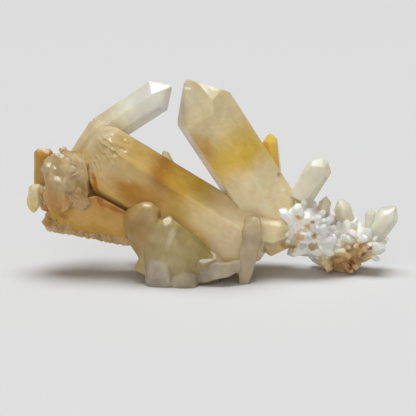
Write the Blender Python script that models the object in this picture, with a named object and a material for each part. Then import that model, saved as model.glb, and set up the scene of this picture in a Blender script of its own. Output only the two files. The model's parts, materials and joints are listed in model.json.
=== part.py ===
"""Mango quartz cluster: clear, milky and mango-yellow quartz points grown together in one piece, with a druse of
small clear crystals on an iron-stained matrix at one end. Metres, +Z up, +X along the cluster, and -Y is its front.
The origin is on the surface that it rests on, below the middle of its box.

Every crystal is cut the way quartz grows: a six-sided prism closed by six rhombohedral faces. The broken and worn
pieces are flat-faced skins over their corners. All of them are then joined into one solid, which is cut off flat
where it rests."""

import math
import random

import bmesh
import bpy
from mathutils import Matrix, Vector

MM = 0.001
NAME = "mango_quartz_cluster"
FIRST_CRYSTAL = "great_point"

SIDES = 6
SIDE_STEP = math.tau / SIDES
CAP_LEAN = math.radians(51.8)  # how far the normal of a closing face leans from a quartz crystal's long axis
FRONT = Vector((0, -1, 0))
BLOCK_WIDTH = 8  # how wide the block is that a crystal is cut from, in side distances
SMALL_CAPS = (0.0, 0.35, 0.0, 0.5, 0.0, 0.4)  # a small crystal's caps, in side distances
SMALL_SIDES = (0.85, 1.15)  # how far a small crystal's sides may be from its half width, as shares of it
SMALL_TURN = 60
SMALL_TAPER = 3
GOLDEN_ANGLE = math.pi * (3 - math.sqrt(5))
FLOOR_WIDTH = 200  # the block that cuts the root off flat where the cluster rests, in millimetres
FLOOR_DEPTH = 10

# The main crystals, in millimetres, as (tip, foot, sides, caps, turn, taper). tip and foot are the ends of the long
# axis. sides are the distances from the axis to the six prism faces, the front one first, and then round by the
# crystal's right as it points up. caps say how far past the tip each closing face crosses the axis: 0 meets the
# tip, and more makes that face smaller. turn rolls the crystal and taper narrows it towards the tip, in degrees.
POINTS = {
    "great_point": (
        (-38.3, 3.0, 35.4), (8.5, -1.0, 7.4), (8.1, 8.2, 8.0, 7.0, 7.8, 8.4), (-4, 0, 2, 0, 2, 0), 0, 0),
    "tall_point": (
        (-6.9, -3.0, 50.4), (19.5, 4.6, 9.0), (7.2, 6.6, 7.0, 7.0, 7.0, 7.4), (0, 2.0, 0.6, 0, 1.0, 0.4), -15, 0),
    "clear_point": (
        (-10.8, 5.0, 47.8), (-29.0, 10.5, 35.6), (3.9, 3.7, 3.9, 3.8, 4.0, 3.7), (0.8, 0, 0.5, 0.4, 1.6, 0.8), 8, 0),
    "clear_shoulder": (
        (-25.6, 8.5, 40.6), (-35.5, 9.5, 22.0), (4.6, 4.4, 4.4, 4.6, 4.8, 4.6), (0, 0.4, 0, 0.5, 0.8, 0.4), 0, 5),
    "end_point_up": (
        (-44.1, 6.0, 32.8), (-44.0, 6.0, 17.0), (1.9, 1.8, 1.9, 1.9, 2.0, 1.9), (0.5, 0.4, 0.9, 0, 0, 0.6), 0, 0),
    "root_right": (
        (23.5, -2.0, 10.2), (6.0, -1.0, 14.6), (4.4, 4.6, 4.6, 4.6, 3.8, 3.8), (0, 0, 0, 0, 0, 0), 8, 0),
    "amber_side_point": (
        (14.2, 3.0, 36.6), (15.8, 4.0, 24.0), (1.9, 1.8, 2.0, 1.9, 1.9, 1.8), (0, 0.3, 0, 0.3, 0, 0.3), 20, 0),
    "edge_bump": (
        (-12.9, 3.0, 31.9), (-10.0, 1.0, 26.5), (1.0, 1.0, 1.0, 1.0, 1.0, 1.0), (0, 0.2, 0, 0.2, 0, 0.2), 0, 0),
    "tan_tip_left": (
        (29.2, 4.0, 20.0), (28.0, 4.0, 11.0), (1.5, 1.5, 1.4, 1.5, 1.5, 1.6), (0, 0.2, 0, 0.2, 0, 0.2), 10, 0),
    "tan_tip_right": (
        (32.6, 4.0, 19.3), (36.4, 4.0, 8.0), (2.1, 2.1, 2.0, 2.1, 2.2, 2.1), (0, 0.4, 0, 0.4, 0, 0.4), 30, 0),
    "far_small_point": (
        (40.5, 3.0, 16.7), (40.9, 3.0, 7.0), (0.9, 0.9, 0.9, 0.9, 0.9, 0.9), (0, 0.2, 0, 0.2, 0, 0.2), 0, 0),
    "far_point": (
        (47.3, 3.0, 17.6), (38.6, 3.0, 5.5), (2.6, 2.7, 2.5, 2.6, 2.8, 2.7), (0.6, 0, 0.6, 0, 0.6, 0), 0, 0),
    "back_point_up": (
        (3.0, 14.5, 17.5), (-4.0, 4.0, 7.0), (3.0, 3.2, 2.8, 3.0, 3.0, 3.2), (0, 0.5, 0, 0.6, 0.3, 0.4), 20, 0),
    "back_point_left": (
        (-21.0, 14.0, 12.5), (-9.0, 5.0, 7.0), (2.6, 2.4, 2.6, 2.5, 2.6, 2.4), (0, 0.5, 0, 0.6, 0.3, 0.4), 0, 0),
    "back_point_right": (
        (14.5, 13.0, 12.0), (3.0, 4.0, 8.0), (2.2, 2.2, 2.4, 2.2, 2.3, 2.2), (0, 0.5, 0, 0.6, 0.3, 0.4), 10, 0),
}

# Faces broken or dissolved off a main crystal, in millimetres, as (a point on the face, which way it faces).
BREAKS = {
    "great_point": (
        ((-24.5, -1.0, 39.3), (0.13, -0.38, 0.91)),
        ((-29.4, -2.0, 36.0), (-0.80, -0.25, 0.53)),
        ((-32.2, -4.0, 29.4), (-0.96, -0.28, -0.07)),
        ((-29.8, -5.0, 23.0), (-0.88, -0.28, -0.38))),
    "clear_point": (
        ((-10.9, 4.0, 44.0), (0.94, -0.30, 0.00)),),
    "end_point_up": (
        ((-43.0, 5.0, 32.2), (-0.15, -0.10, 0.98)),),
}

# The broken and worn pieces, in millimetres, as the corners that a tight skin of flat faces is laid over.
BLOCKS = {
    "front_dome": (
        (-22.4, -7, 16.8), (-21.1, -7, 19.4), (-18.6, -8, 20.7), (-15.3, -8, 20.7), (-13.1, -7, 18.9),
        (-12.5, -7.5, 16.7), (-12.6, -8, 12.9), (-20.4, -10.2, 17.5), (-18.4, -10.6, 19.6),
        (-15.4, -10.8, 19.7), (-14, -11, 18.1), (-14, -11.6, 12.7), (-19.7, -10.6, 13), (-22, -7.5, 11.3),
        (-20.2, -8.5, 8.4), (-18.2, -9, 5.2), (-13.4, -9.5, 6.6), (-22.3, -1, 15.9), (-13.7, -1, 15.9),
        (-13.7, -1, 6.7), (-20.1, -1, 8), (-18.7, -1, 18.7), (-15.7, -1, 18.7)),
    "lump_left": (
        (-16.9, -9.5, 3.8), (-16.1, -9.5, 5.7), (-14.4, -10, 6.6), (-12.1, -10, 6.2), (-10.6, -10.5, 4.8),
        (-10.1, -11, 2.6), (-15.8, -12, 4.9), (-13.8, -12.6, 5.8), (-11.5, -13, 4.7), (-15.5, -12.8, 2.6),
        (-11.3, -13.6, 2.5), (-16.7, -4, 4.3), (-11.1, -4, 4.3), (-16.8, -10.5, -2), (-15.2, -13.2, -2),
        (-10.6, -13.8, -2), (-10.2, -10, -2), (-16, -5, -2), (-10, -5, -2)),
    "lump_middle": (
        (-10.6, -11, 2.6), (-8.9, -10.5, 3.7), (-6.4, -10.5, 3.5), (-4.1, -11, 2.9), (-3.6, -11.5, 1.5),
        (-9.3, -13.2, 2.9), (-6.8, -13.6, 3.3), (-4.9, -13.4, 2.2), (-10.8, -12, -2), (-9.5, -13.8, -2),
        (-4.5, -13.6, -2), (-3.8, -12, -2), (-10.5, -5, 3.5), (-4, -5, 3.5), (-10.5, -5, -2), (-4, -5, -2)),
    "lump_inner": (
        (-13.9, -9.5, 6.6), (-10.9, -10, 7.8), (-7.4, -10.5, 5.8), (-5.9, -10.8, 3.9), (-12, -12, 6.2),
        (-8.8, -12.4, 5.3), (-13.4, -11, 3.4), (-6.4, -11.5, 2.5), (-13.6, -4, 5.3), (-7, -4, 4.3),
        (-6.5, -4, 0.6), (-13.7, -4, 0.6)),
    "leg_lump": (
        (7.4, -7, 15.3), (8.4, -7, 16.6), (10.4, -7, 16.8), (11.9, -7, 15.5), (12.1, -7.5, 13.3),
        (12.4, -8, 10.9), (7.3, -8.8, 11.1), (8.3, -8.6, 15.6), (10.8, -8.6, 15.9), (11.3, -9.2, 13.2),
        (8.1, -9.4, 13.2), (8, -3, 15.5), (11.8, -3, 15.5), (12.4, -3, 9.8), (7.5, -3, 9.8)),
    "end_point_down": (
        (-47.4, 2, 22.3), (-46.6, 2, 23.4), (-44.7, 1.5, 23.5), (-44, 1.5, 21.9), (-44.2, 1.5, 18.5),
        (-45.5, 1.8, 16.4), (-46.3, 2, 15.8), (-48, 2.5, 17.1), (-47.7, 2.2, 20.2), (-46.4, 0.6, 22.1),
        (-44.8, 0.4, 22.1), (-44.9, 0.4, 18.5), (-46.5, 0.8, 18.4), (-47.6, 5, 22.3), (-43.4, 5, 22.3),
        (-43.6, 5, 17.1), (-47.7, 5, 17.1)),
    "pale_point": (
        (19.4, 1, 20.4), (22, -0.5, 25.9), (24, 0, 29.3), (25.3, 0, 29.9), (27.6, 1, 30.3),
        (29.2, 1, 29.5), (30.1, 1, 26.5), (28.9, 0, 24.8), (26.9, 0, 21.7), (24.7, 0, 18),
        (24.6, -1.6, 28.6), (28.2, -1.4, 28.3), (28, -1.6, 25.6), (23, -1.6, 19.4), (21, -1.4, 20.4),
        (19.9, 5, 18.6), (22.4, 5, 25), (24.7, 5, 28.4), (28, 5, 29.3), (29.6, 5, 28.4), (30.2, 5, 25.8),
        (25.2, 5, 17.1)),
    "tan_block": (
        (-44.0, 0.0, 27.9), (-42.8, -1.0, 30.2), (-38.5, -1.2, 32.3), (-35.6, -1.8, 32.0), (-35.0, -4.4, 28.9),
        (-37.0, -5.6, 25.3), (-40.0, -5.2, 25.4), (-43.2, -2.6, 25.8), (-40.8, -3.4, 20.7), (-36.9, -4.2, 21.4),
        (-31.6, -4.6, 29.6), (-31.4, -4.4, 20.8), (-43.0, 5.0, 29.0), (-36.0, 7.0, 31.0), (-31.0, 7.0, 30.0),
        (-31.0, 7.0, 21.0), (-42.0, 6.0, 22.0)),
    "left_block": (
        (-41.3, -4.0, 20.6), (-36.2, -4.9, 21.4), (-35.8, -5.1, 17.4), (-41.0, -4.3, 17.0), (-42.3, 0.0, 20.8),
        (-42.2, 0.0, 16.6), (-35.0, 2.0, 21.6), (-35.0, 2.0, 16.6)),
    "inner_block": (
        (-36.6, -4.6, 22.6), (-31.2, -5.2, 21.6), (-30.6, -5.6, 18.8), (-34.0, -6.2, 18.0), (-36.4, -5.6, 18.4),
        (-36.6, 1.0, 23.0), (-30.0, 1.0, 22.0), (-30.0, 1.0, 17.0), (-36.6, 1.0, 17.0)),
    "lower_body": (
        (-41.6, -2.4, 17.6), (-28.4, -4.6, 20.2), (-22.3, -5.8, 17.4), (-17.0, -6.0, 13.0), (-16.0, -4.4, 7.7),
        (-24.0, -2.8, 9.3), (-33.5, -0.8, 11.2), (-40.0, 0.2, 11.0), (-42.6, 0.8, 12.4), (-43.6, 1.2, 15.4),
        (-42.0, 7.0, 16.0), (-40.0, 7.5, 12.4), (-20.0, 7.0, 8.5), (-18.0, 6.0, 13.0)),
    "olive_body": (
        (-12.8, -11.4, 17.2), (-11.0, -12.2, 17.6), (-10.4, -12.7, 15.9), (-12.0, -12.3, 14.9), (0.4, -11.0, 6.2),
        (1.4, -9.6, 3.0), (-9.0, -13.3, 8.4), (-8.0, -13.4, 5.6), (-17.2, -10.9, 9.4), (-17.4, -10.6, 5.4),
        (-11.0, -4.0, 16.4), (2.0, -3.0, 6.4), (-16.5, -3.0, 9.0), (-16.0, -3.0, 2.0), (2.0, -3.0, 2.0)),
    "stub": (
        (-17.9, -9.4, 8.7), (-19.5, -9.6, 5.9), (-20.9, -9.5, 3.3), (-17.7, -10.4, 2.6), (-16.6, -10.6, 4.2),
        (-16.6, -6.0, 8.4), (-19.4, -6.4, 3.4), (-16.4, -6.0, 2.2)),
    "lying_block": (
        (-3.6, -11.4, 5.9), (-4.2, -11.9, 3.2), (-3.2, -12.2, 1.0), (-1.4, -12.6, 0.9), (6.4, -11.2, 5.9),
        (6.5, -11.2, 3.4), (1.8, -12.8, 5.9), (2.4, -12.9, 2.6), (-3.0, -7.0, 5.6), (6.0, -7.0, 5.6),
        (-2.6, -7.0, 1.0), (6.0, -7.0, 3.0)),
    "leg": (
        (7.0, -8.8, 12.6), (12.4, -8.4, 12.2), (12.3, -7.8, 8.3), (6.9, -9.4, 8.5), (8.8, -10.0, 9.4),
        (6.8, -9.6, 5.0), (10.7, -8.6, 4.0), (6.2, -9.4, 0.9), (6.8, -9.8, 0.0), (9.2, -9.2, 0.0),
        (9.7, -8.8, 1.0), (8.0, -5.0, 12.6), (12.0, -5.0, 12.0), (7.6, -6.6, 0.0), (9.5, -6.2, 1.5)),
}

# The blunt chunks of the root and of the matrix, in millimetres, as (middle, half sizes).
CHUNKS = {
    "front_chunk_right": ((-2.5, -7.2, 4.2), (5.4, 5.0, 5.4)),
    "root_middle": ((2.5, -0.5, 8.5), (11.0, 7.0, 6.6)),
    "root_back": ((-9.0, 6.5, 6.5), (10.0, 6.0, 8.0)),
    "left_root": ((-35.5, 3.0, 20.4), (7.5, 5.0, 6.0)),
    "brown_chunk_upper": ((-43.0, 1.5, 17.6), (1.5, 1.5, 1.3)),
    "brown_chunk_lower": ((-42.2, 0.5, 13.8), (1.8, 1.6, 1.5)),
    "top_crumb": ((-38.4, 2.0, 32.2), (1.1, 1.0, 0.9)),
    "matrix_upper": ((23.5, 0.8, 13.4), (6.2, 5.0, 5.0)),
    "matrix_left": ((25.8, 0.8, 9.6), (5.6, 4.8, 4.4)),
    "matrix_middle": ((32.5, 4.5, 6.0), (7.2, 5.5, 6.6)),
    "matrix_right": ((38.5, 3.5, 7.0), (5.0, 4.5, 4.4)),
}
CHUNK_FACES = 22  # how many flat faces a chunk is cut with
CHUNK_CUTS = (0.82, 1.0)  # how far out the faces lie, where 1 touches the oval
CHUNK_SWING = 0.4  # how far a face may swing round from its even place, in radians

# The druse: how many small crystals stand on each chunk of the matrix, and their sizes in millimetres.
DRUSE_COUNTS = {"matrix_upper": 30, "matrix_left": 30, "matrix_middle": 46, "matrix_right": 30}
DRUSE_HALF_WIDTHS = (0.5, 1.2)
DRUSE_HEIGHTS = (0.8, 3.0)
DRUSE_LOWEST = 0.7
DRUSE_SWING = 0.3
DRUSE_SPREAD = ((-0.5, 0.5), (-0.5, 0.3), (-0.2, 0.7))  # how far a crystal may lean away, along X, Y and Z
DRUSE_SEAT = 0.9  # where the crystals stand, where 1 is the chunk's oval
DRUSE_ROOT = 2.0  # how deep the crystals reach into the chunk
DRUSE_SEED = 11

# The crust of tiny crystals along the lower edge of the left end, in millimetres.
CRUST_ENDS = (Vector((-41.6, 0.6, 12.2)), Vector((-17.5, -4.0, 8.6)))
CRUST_COUNT = 18
CRUST_STEP = (0.2, 0.8)  # where in its share of the row a crystal may stand
CRUST_LEAN = ((-0.7, 0.4), (-0.9, 0.1))  # how far a crystal may lean along X and Y, where it points down by 1
CRUST_HALF_WIDTHS = (0.6, 1.1)
CRUST_REACH = 0.9  # how far a crystal stands out, in half widths
CRUST_ROOT = 3.0
CRUST_SEED = 5


def crystal_frame(tip, foot, turn):
    """The crystal's own axes, placed at its foot: Z along it, and X square to the first side."""
    along = (tip - foot).normalized()
    facing = (FRONT - along * FRONT.dot(along)).normalized()
    facing.rotate(Matrix.Rotation(math.radians(turn), 3, along))
    frame = Matrix((facing, along.cross(facing), along)).transposed().to_4x4()
    frame.translation = foot
    return frame


def cut_off(body, point, outward):
    """Cut away what lies past a plane, and close the cut with one flat face."""
    everything = body.verts[:] + body.edges[:] + body.faces[:]
    cut = bmesh.ops.bisect_plane(
        body, geom=everything, dist=1e-7, plane_co=point, plane_no=outward, clear_outer=True)
    rim = [part for part in cut["geom_cut"] if isinstance(part, bmesh.types.BMEdge)]
    if rim:
        bmesh.ops.edgeloop_fill(body, edges=rim)


def crystal_body(tip, foot, sides, caps, turn, taper):
    """A block cut by six prism faces, and by six closing faces that lean at quartz's own angle."""
    tip, foot = Vector(tip) * MM, Vector(foot) * MM
    length = (tip - foot).length
    widest = max(sides) * MM
    depth = length + 2 * widest
    body = bmesh.new()
    block = Matrix.Diagonal((BLOCK_WIDTH * widest, BLOCK_WIDTH * widest, depth)).to_4x4()
    bmesh.ops.create_cube(body, size=1.0, matrix=Matrix.Translation((0, 0, depth / 2)) @ block)
    lean = math.radians(taper)
    for side in range(SIDES):
        outward = Vector((math.cos(side * SIDE_STEP), math.sin(side * SIDE_STEP), 0))
        on_side = outward * sides[side] * MM + Vector((0, 0, length / 2))
        cut_off(body, on_side, outward * math.cos(lean) + Vector((0, 0, math.sin(lean))))
    for side in range(SIDES):
        outward = Vector((math.cos(side * SIDE_STEP), math.sin(side * SIDE_STEP), 0))
        past_tip = Vector((0, 0, length + caps[side] * MM))
        cut_off(body, past_tip, outward * math.sin(CAP_LEAN) + Vector((0, 0, math.cos(CAP_LEAN))))
    bmesh.ops.transform(body, matrix=crystal_frame(tip, foot, turn), verts=body.verts)
    return body


def even_direction(number, count, lowest, swing):
    """One of a number of directions spread evenly on a sphere, from straight up to as far down as lowest says."""
    height = 1 - (1 + lowest) * (number + 0.5) / count
    around = number * GOLDEN_ANGLE + swing
    ring = math.sqrt(1 - height * height)
    return Vector((ring * math.cos(around), ring * math.sin(around), height))


def small_crystal_body(tip, foot, half_width, chance):
    """A small crystal with slightly uneven sides and a roll of its own."""
    sides = [half_width * chance.uniform(*SMALL_SIDES) for side in range(SIDES)]
    caps = [half_width * cap for cap in SMALL_CAPS]
    return crystal_body(tip, foot, sides, caps, chance.uniform(0, SMALL_TURN), chance.uniform(0, SMALL_TAPER))


def skin_body(corners):
    """A closed skin of flat faces over a broken piece's corners."""
    body = bmesh.new()
    for corner in corners:
        body.verts.new(Vector(corner) * MM)
    skin = bmesh.ops.convex_hull(body, input=body.verts)
    inside = {part for part in skin["geom_interior"] + skin["geom_unused"] if isinstance(part, bmesh.types.BMVert)}
    bmesh.ops.delete(body, geom=list(inside), context="VERTS")
    return body


def chunk_body(middle, half_sizes, seed):
    """A blunt chunk: a block cut by flat faces that touch, or dip into, an oval of these half sizes."""
    chance = random.Random(seed)
    body = bmesh.new()
    bmesh.ops.create_cube(body, size=2.0)
    for number in range(CHUNK_FACES):
        outward = even_direction(number, CHUNK_FACES, 1.0, chance.uniform(-CHUNK_SWING, CHUNK_SWING))
        cut_off(body, outward * chance.uniform(*CHUNK_CUTS), outward)
    for corner in body.verts:
        corner.co = Vector((c * h * MM for c, h in zip(corner.co, half_sizes))) + Vector(middle) * MM
    return body


def floor_body():
    """The block below the surface that the cluster rests on."""
    body = bmesh.new()
    size = Vector((FLOOR_WIDTH, FLOOR_WIDTH, FLOOR_DEPTH)) * MM
    place = Matrix.Translation((0, 0, -size.z / 2)) @ Matrix.Diagonal(size).to_4x4()
    bmesh.ops.create_cube(body, size=1.0, matrix=place)
    return body


def add_object(name, body, collection):
    """A new object from a bmesh, with its faces pointing out."""
    bmesh.ops.recalc_face_normals(body, faces=body.faces)
    mesh = bpy.data.meshes.new(name)
    body.to_mesh(mesh)
    body.free()
    thing = bpy.data.objects.new(name, mesh)
    collection.objects.link(thing)
    return thing


def add_druse(collection):
    """Small crystals spread evenly over the matrix chunks, each pointing away from its chunk and a little upwards."""
    chance = random.Random(DRUSE_SEED)
    for chunk, count in DRUSE_COUNTS.items():
        middle, half_sizes = (Vector(values) for values in CHUNKS[chunk])
        for number in range(count):
            out = even_direction(number, count, DRUSE_LOWEST, chance.uniform(-DRUSE_SWING, DRUSE_SWING))
            surface = middle + DRUSE_SEAT * Vector((o * h for o, h in zip(out, half_sizes)))
            spread = Vector([chance.uniform(*reach) for reach in DRUSE_SPREAD])
            along = (out + spread).normalized()
            reach = chance.uniform(*DRUSE_HEIGHTS)
            half_width = chance.uniform(*DRUSE_HALF_WIDTHS)
            body = small_crystal_body(surface + along * reach, surface - along * DRUSE_ROOT, half_width, chance)
            add_object(f"{chunk}_druse_{number}", body, collection)


def add_crust(collection):
    """Tiny crystals in a row, pointing down and to the front, along the lower edge of the left end."""
    chance = random.Random(CRUST_SEED)
    start, end = CRUST_ENDS
    for number in range(CRUST_COUNT):
        place = start.lerp(end, (number + chance.uniform(*CRUST_STEP)) / CRUST_COUNT)
        along = Vector((*[chance.uniform(*lean) for lean in CRUST_LEAN], -1)).normalized()
        half_width = chance.uniform(*CRUST_HALF_WIDTHS)
        tip, foot = place + along * half_width * CRUST_REACH, place - along * CRUST_ROOT
        body = small_crystal_body(tip, foot, half_width, chance)
        add_object(f"crust_{number}", body, collection)


def new_collection(name):
    """A collection in the scene, with this name."""
    collection = bpy.data.collections.new(name)
    bpy.context.scene.collection.children.link(collection)
    return collection


def join_with(thing, collection):
    """Unite an object with everything in a collection."""
    join = thing.modifiers.new("grown_together", "BOOLEAN")
    join.operation = "UNION"
    join.operand_type = "COLLECTION"
    join.collection = collection
    join.solver = "EXACT"


def cut_by(thing, cutter):
    """Cut an object with another."""
    cut = thing.modifiers.new("rest_cut", "BOOLEAN")
    cut.operation = "DIFFERENCE"
    cut.object = cutter
    cut.solver = "EXACT"


def quartz_material():
    """Milky yellow quartz."""
    material = bpy.data.materials.new("mango_quartz")
    material.use_nodes = True
    shader = material.node_tree.nodes["Principled BSDF"]
    shader.inputs["Base Color"].default_value = (0.74, 0.60, 0.30, 1)
    shader.inputs["Roughness"].default_value = 0.12
    shader.inputs["Metallic"].default_value = 0.0
    shader.inputs["Transmission Weight"].default_value = 0.5
    shader.inputs["IOR"].default_value = 1.544
    return material


def outer_skin(mesh):
    """Keep only the largest joined run of faces, without the small pockets that crystals shut in between them."""
    body = bmesh.new()
    body.from_mesh(mesh)
    waiting = set(body.faces)
    runs = []
    while waiting:
        run = []
        edge_of_run = [waiting.pop()]
        while edge_of_run:
            face = edge_of_run.pop()
            run.append(face)
            for near in (other for edge in face.edges for other in edge.link_faces):
                if near in waiting:
                    waiting.remove(near)
                    edge_of_run.append(near)
        runs.append(run)
    runs.sort(key=len)
    for run in runs[:-1]:
        bmesh.ops.delete(body, geom=run, context="FACES")
    body.to_mesh(mesh)
    body.free()


def finish_shape(thing):
    """Turn the joined and cut shape into the object's own mesh, centred over the origin."""
    finished = thing.evaluated_get(bpy.context.evaluated_depsgraph_get())
    mesh = bpy.data.meshes.new_from_object(finished)
    outer_skin(mesh)
    thing.modifiers.clear()
    thing.data = mesh
    for axis in (0, 1):
        places = [corner.co[axis] for corner in mesh.vertices]
        thing.location[axis] = -(min(places) + max(places)) / 2


def main():
    """Model the cluster."""
    for thing in list(bpy.data.objects):
        bpy.data.objects.remove(thing, do_unlink=True)
    kept = new_collection(NAME)
    grown = new_collection("grown_crystals")
    cutters = new_collection("cutters")
    for name, values in POINTS.items():
        body = crystal_body(*values)
        for point, outward in BREAKS.get(name, ()):
            cut_off(body, Vector(point) * MM, Vector(outward).normalized())
        if name == FIRST_CRYSTAL:
            cluster = add_object(NAME, body, kept)
        else:
            add_object(name, body, grown)
    for name, corners in BLOCKS.items():
        add_object(name, skin_body(corners), grown)
    for seed, (name, values) in enumerate(CHUNKS.items()):
        add_object(name, chunk_body(*values, seed), grown)
    add_druse(grown)
    add_crust(grown)
    floor = add_object("floor_block", floor_body(), cutters)
    for thing in [*grown.objects, floor]:
        thing.hide_render = True
        thing.display_type = "WIRE"
    cluster.data.materials.append(quartz_material())
    join_with(cluster, grown)
    cut_by(cluster, floor)
    finish_shape(cluster)


main()
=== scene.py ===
"""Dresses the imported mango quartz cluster: crystals with worn edges, broken and stepped faces, a fine druse
and a crust, all joined into one see-through body, on a plain pale floor under soft light. Lengths in the
tables are in millimetres, with +X along the cluster, -Y to its front, +Z up, and 0 on the surface it rests
on."""

import itertools
import json
import math
import random

import bmesh
import bpy
import numpy as np
from bpy.props import FloatProperty, FloatVectorProperty, IntProperty, PointerProperty
from mathutils import Matrix, Vector

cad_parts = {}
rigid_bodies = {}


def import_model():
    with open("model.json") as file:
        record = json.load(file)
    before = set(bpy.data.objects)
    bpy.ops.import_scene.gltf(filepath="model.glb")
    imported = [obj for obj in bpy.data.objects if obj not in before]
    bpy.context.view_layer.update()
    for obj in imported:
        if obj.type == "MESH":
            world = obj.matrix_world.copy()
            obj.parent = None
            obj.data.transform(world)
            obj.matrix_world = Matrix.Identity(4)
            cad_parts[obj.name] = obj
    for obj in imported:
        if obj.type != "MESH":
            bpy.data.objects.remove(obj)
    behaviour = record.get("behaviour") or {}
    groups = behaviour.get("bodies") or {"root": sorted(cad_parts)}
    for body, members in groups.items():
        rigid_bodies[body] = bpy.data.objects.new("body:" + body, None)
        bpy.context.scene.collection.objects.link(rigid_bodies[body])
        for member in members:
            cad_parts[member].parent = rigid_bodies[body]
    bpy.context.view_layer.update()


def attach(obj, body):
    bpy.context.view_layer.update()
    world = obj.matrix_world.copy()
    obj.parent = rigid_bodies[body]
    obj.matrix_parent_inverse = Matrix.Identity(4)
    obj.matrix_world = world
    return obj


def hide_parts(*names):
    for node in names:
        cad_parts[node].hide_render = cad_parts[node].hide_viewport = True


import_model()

bl_info = {
    "name": "Mango Quartz Cluster",
    "version": (1, 0, 0),
    "blender": (4, 5, 0),
    "location": "3D View > Sidebar > Quartz",
    "description": "Grows a cluster of mango quartz points, with its druse, crust and stage",
    "category": "Add Mesh",
}

MM = 0.001
NEAR = 1e-5  # what counts as nothing, in millimetres and for the volume that three normals span
NODE = "mango_quartz_cluster"
SOURCES = "quartz_sources"
CENTRE = Vector((0.041, -0.646, 0.0))  # how far the tables are moved, to centre the box over the origin
SIDES = 6
SIDE_STEP = math.tau / SIDES
CAP_LEAN = math.radians(51.8)  # how far the normal of a closing face leans from a quartz crystal's long axis
GOLDEN_ANGLE = math.pi * (3 - math.sqrt(5))

# A small crystal's caps, in side distances, and what it draws: how much lighter and clearer it is than its
# neighbours, how uneven its sides are, and its roll and taper in degrees.
SMALL_CAPS = np.array((0.0, 0.35, 0.0, 0.5, 0.0, 0.4))
SMALL_LIGHTER = (-14, 10)
SMALL_CLEARER = (-0.15, 0.15)
SMALL_SIDES = (0.8, 1.2)
SMALL_ROLL = (0, 60)
SMALL_TAPER = (0, 3)

# The main crystals as (tip, foot, sides, caps, turn, taper, worn edge). tip and foot are the ends of the long
# axis. sides are the distances from the axis to the six prism faces, the front one first. caps say how far
# past the tip each closing face crosses the axis. turn and taper are in degrees, and worn edge is a width.
POINTS = {
    "great_point": (
        (-38.3, 3, 35.4), (8.5, -1, 7.4), (8.1, 8.2, 8, 7, 7.8, 8.4), (-4, 0, 2, 0, 2, 0), 0, 0, 0.7),
    "tall_point": (
        (-6.9, -3, 50.4), (19.5, 4.6, 9), (7.2, 6.6, 7, 7, 7, 7.4), (0, 2, 0.6, 0, 1, 0.4), -15, 0, 0.25),
    "clear_point": (
        (-10.8, 5, 47.8), (-29, 10.5, 35.6), (3.9, 3.7, 3.9, 3.8, 4, 3.7), (0.8, 0, 0.5, 0.4, 1.6, 0.8), 8, 0,
        0.2),
    "clear_shoulder": (
        (-25.6, 8.5, 40.6), (-35.5, 9.5, 22), (4.6, 4.4, 4.4, 4.6, 4.8, 4.6), (0, 0.4, 0, 0.5, 0.8, 0.4), 0,
        5, 0.25),
    "root_right": (
        (21.5, -2, 11.4), (6, -1, 14.8), (4.2, 4.4, 4.2, 4.2, 3.8, 3.8), (0, 0, 0, 0, 0, 0), 8, 0, 0.3),
    "amber_side_point": (
        (14.2, 3, 36.6), (15.8, 4, 24), (1.9, 1.8, 2, 1.9, 1.9, 1.8), (0, 0.3, 0, 0.3, 0, 0.3), 20, 0, 0.12),
    "edge_bump": (
        (-12.9, 3, 31.9), (-10, 1, 26.5), (1, 1, 1, 1, 1, 1), (0, 0.2, 0, 0.2, 0, 0.2), 0, 0, 0.15),
    "tan_tip_left": (
        (29.2, 4, 20), (28, 4, 11), (1.5, 1.5, 1.4, 1.5, 1.5, 1.6), (0, 0.2, 0, 0.2, 0, 0.2), 10, 0, 0.1),
    "tan_tip_right": (
        (32.6, 4, 19.3), (36.4, 4, 8), (2.1, 2.1, 2, 2.1, 2.2, 2.1), (0, 0.4, 0, 0.4, 0, 0.4), 30, 0, 0.1),
    "far_small_point": (
        (40.6, 3, 17.2), (40.9, 3, 7), (1.2, 1.2, 1.3, 1.2, 1.2, 1.3), (0, 0.2, 0, 0.2, 0, 0.2), 0, 0, 0.3),
    "far_point": (
        (47.3, 3, 17.6), (38.6, 3, 5.5), (2.6, 2.7, 2.5, 2.6, 2.8, 2.7), (0.6, 0, 0.6, 0, 0.6, 0), 0, 0, 0.5),
    "back_point_up": (
        (3, 14.5, 17.5), (-4, 4, 7), (3, 3.2, 2.8, 3, 3, 3.2), (0, 0.5, 0, 0.6, 0.3, 0.4), 20, 0, 0.15),
    "back_point_left": (
        (-21, 14, 12.5), (-9, 5, 7), (2.6, 2.4, 2.6, 2.5, 2.6, 2.4), (0, 0.5, 0, 0.6, 0.3, 0.4), 0, 0, 0.15),
    "back_point_right": (
        (14.5, 13, 12), (3, 4, 8), (2.2, 2.2, 2.4, 2.2, 2.3, 2.2), (0, 0.5, 0, 0.6, 0.3, 0.4), 10, 0, 0.15),
}

# Faces broken or dissolved off a main crystal, as (a point on the face, which way it faces).
BREAKS = {
    "great_point": (
        ((-24.5, -1, 39.3), (0.13, -0.38, 0.91)),
        ((-29.4, -2, 36), (-0.80, -0.25, 0.53)),
        ((-32.2, -4, 29.4), (-0.96, -0.28, -0.07)),
        ((-29.8, -5, 23), (-0.88, -0.28, -0.38))),
    "clear_point": (
        ((-10.9, 4, 44), (0.94, -0.30, 0.00)),),
}

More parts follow.
